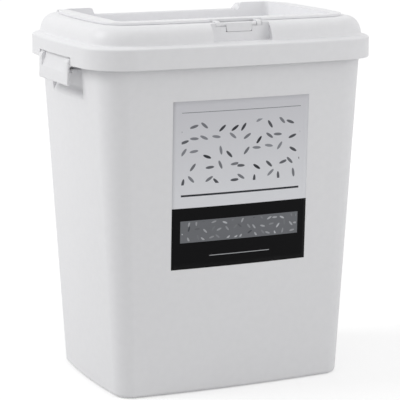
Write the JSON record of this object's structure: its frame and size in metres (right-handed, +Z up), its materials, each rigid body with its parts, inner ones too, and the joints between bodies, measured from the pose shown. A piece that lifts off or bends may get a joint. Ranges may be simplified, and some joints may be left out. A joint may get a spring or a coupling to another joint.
{
  "type": "rice bin with flip lid",
  "caption": "Tall tapered plastic rice bin with a clip-on lid frame, a hinged flip lid with a front latch, side clips and a loose measuring cup.",
  "frame": {"origin": "centre of the base on the floor, midway between the left and right sides and between the skirt's front and rear", "axes": "+X to the right seen from the front, +Y to the rear where the flip lid is hinged, +Z up"},
  "size_m": [0.4024, 0.293, 0.474],
  "materials": {
    "white_shell": "fine satin moulded polypropylene",
    "label_film": "printed self-adhesive film",
    "seal": "soft translucent silicone",
    "pin_plastic": "smooth natural acetal",
    "cup_plastic": "clear moulded plastic"
  },
  "bodies": {
    "bin": {"bin_body": "white_shell", "front_label": "label_film"},
    "lid": {"lid_frame": "white_shell", "rim_seal": "seal", "hinge_pin_left": "pin_plastic", "hinge_pin_right": "pin_plastic", "clip_pin_left_front": "pin_plastic", "clip_pin_left_rear": "pin_plastic", "clip_pin_right_front": "pin_plastic", "clip_pin_right_rear": "pin_plastic"},
    "flip": {"flip_lid": "white_shell", "flip_lid_seal": "seal", "latch_pin": "pin_plastic"},
    "latch": {"front_latch": "white_shell"},
    "clip_left": {"side_clip_left": "white_shell"},
    "clip_right": {"side_clip_right": "white_shell"},
    "cup": {"measuring_cup": "cup_plastic"}
  },
  "joints": [
    {"name": "lid_lift", "type": "slide", "parent": "bin", "child": "lid", "axis": [0, 0, 1], "range_m": [0, 0.075]},
    {"name": "flip_hinge", "type": "hinge", "parent": "lid", "child": "flip", "pos_m": [0, 0.116, 0.4615], "axis": [-1, 0, 0], "range_deg": [0, 105]},
    {"name": "latch_hinge", "type": "hinge", "parent": "flip", "child": "latch", "pos_m": [0, -0.117, 0.4675], "axis": [-1, 0, 0], "range_deg": [0, 90]},
    {"name": "clip_left_hinge", "type": "hinge", "parent": "lid", "child": "clip_left", "pos_m": [-0.194, 0, 0.4205], "axis": [0, 1, 0], "range_deg": [0, 95]},
    {"name": "clip_right_hinge", "type": "hinge", "parent": "lid", "child": "clip_right", "pos_m": [0.194, 0, 0.4205], "axis": [0, -1, 0], "range_deg": [0, 95]},
    {"name": "cup_lift", "type": "slide", "parent": "bin", "child": "cup", "axis": [0, 0, 1], "range_m": [0, 0.3]}
  ]
}
